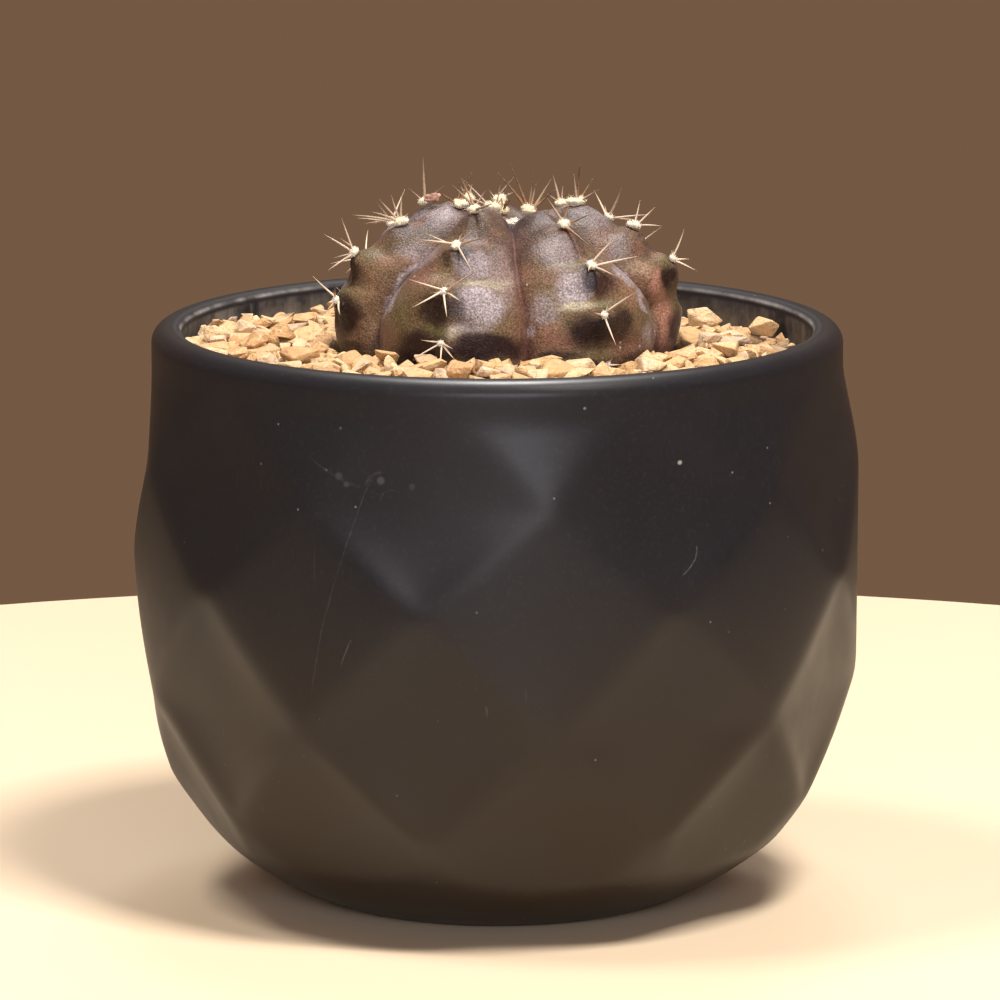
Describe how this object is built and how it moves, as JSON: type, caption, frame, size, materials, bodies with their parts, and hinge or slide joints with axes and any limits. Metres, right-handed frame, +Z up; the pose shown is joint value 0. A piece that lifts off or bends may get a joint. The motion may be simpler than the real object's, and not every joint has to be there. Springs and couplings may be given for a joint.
{
  "type": "potted round cactus",
  "caption": "Small round ribbed cactus with wool-tufted spine clusters, planted in tan stone chips in a black ceramic pot with a shallow diamond relief.",
  "frame": {"origin": "centre of the pot's foot, on the surface it stands on", "axes": "+Z up along the pot's axis, -Y towards the viewer of the pictured front, +X to the viewer's right"},
  "size_m": [0.1158, 0.1154, 0.1177],
  "materials": {
    "glaze": "satin",
    "soil": "matte",
    "stone": "matte",
    "skin": "satin",
    "spine": "satin",
    "wool": "matte",
    "bud": "matte"
  },
  "bodies": {
    "root": {"pot": "glaze", "potting_soil": "soil", "gravel_bed": "stone", "gravel_chip_01": "stone", "gravel_chip_02": "stone", "gravel_chip_03": "stone", "gravel_chip_04": "stone", "gravel_chip_05": "stone", "gravel_chip_06": "stone", "gravel_chip_07": "stone", "gravel_chip_08": "stone", "gravel_chip_09": "stone", "gravel_chip_10": "stone", "gravel_chip_11": "stone", "gravel_chip_12": "stone", "gravel_chip_13": "stone", "gravel_chip_14": "stone", "gravel_chip_15": "stone", "gravel_chip_16": "stone", "gravel_chip_17": "stone", "gravel_chip_18": "stone", "gravel_chip_19": "stone", "gravel_chip_20": "stone", "gravel_chip_21": "stone", "cactus_stem": "skin", "spines_left_2": "spine", "spines_left_3": "spine", "spines_left_4": "spine", "spines_front_left_1": "spine", "spines_front_left_2": "spine", "spines_front_left_3": "spine", "spines_front_left_4": "spine", "spines_front_right_1": "spine", "spines_front_right_2": "spine", "spines_front_right_3": "spine", "spines_front_right_4": "spine", "spines_front_right_5": "spine", "spines_right_1": "spine", "spines_right_2": "spine", "spines_right_3": "spine", "spines_back_right_4": "spine", "spines_back_right_3": "spine", "spines_back_right_2": "spine", "spines_back_right_1": "spine", "spines_back_4": "spine", "spines_back_3": "spine", "spines_back_2": "spine", "spines_back_1": "spine", "spines_back_left_5": "spine", "spines_back_left_4": "spine", "spines_back_left_3": "spine", "spines_back_left_2": "spine", "spines_back_left_1": "spine", "spines_left_5": "spine", "spines_front_left_5": "spine", "spines_right_4": "spine", "spines_back_5": "spine", "crown_wool": "wool", "dried_bud": "bud"}
  },
  "joints": []
}
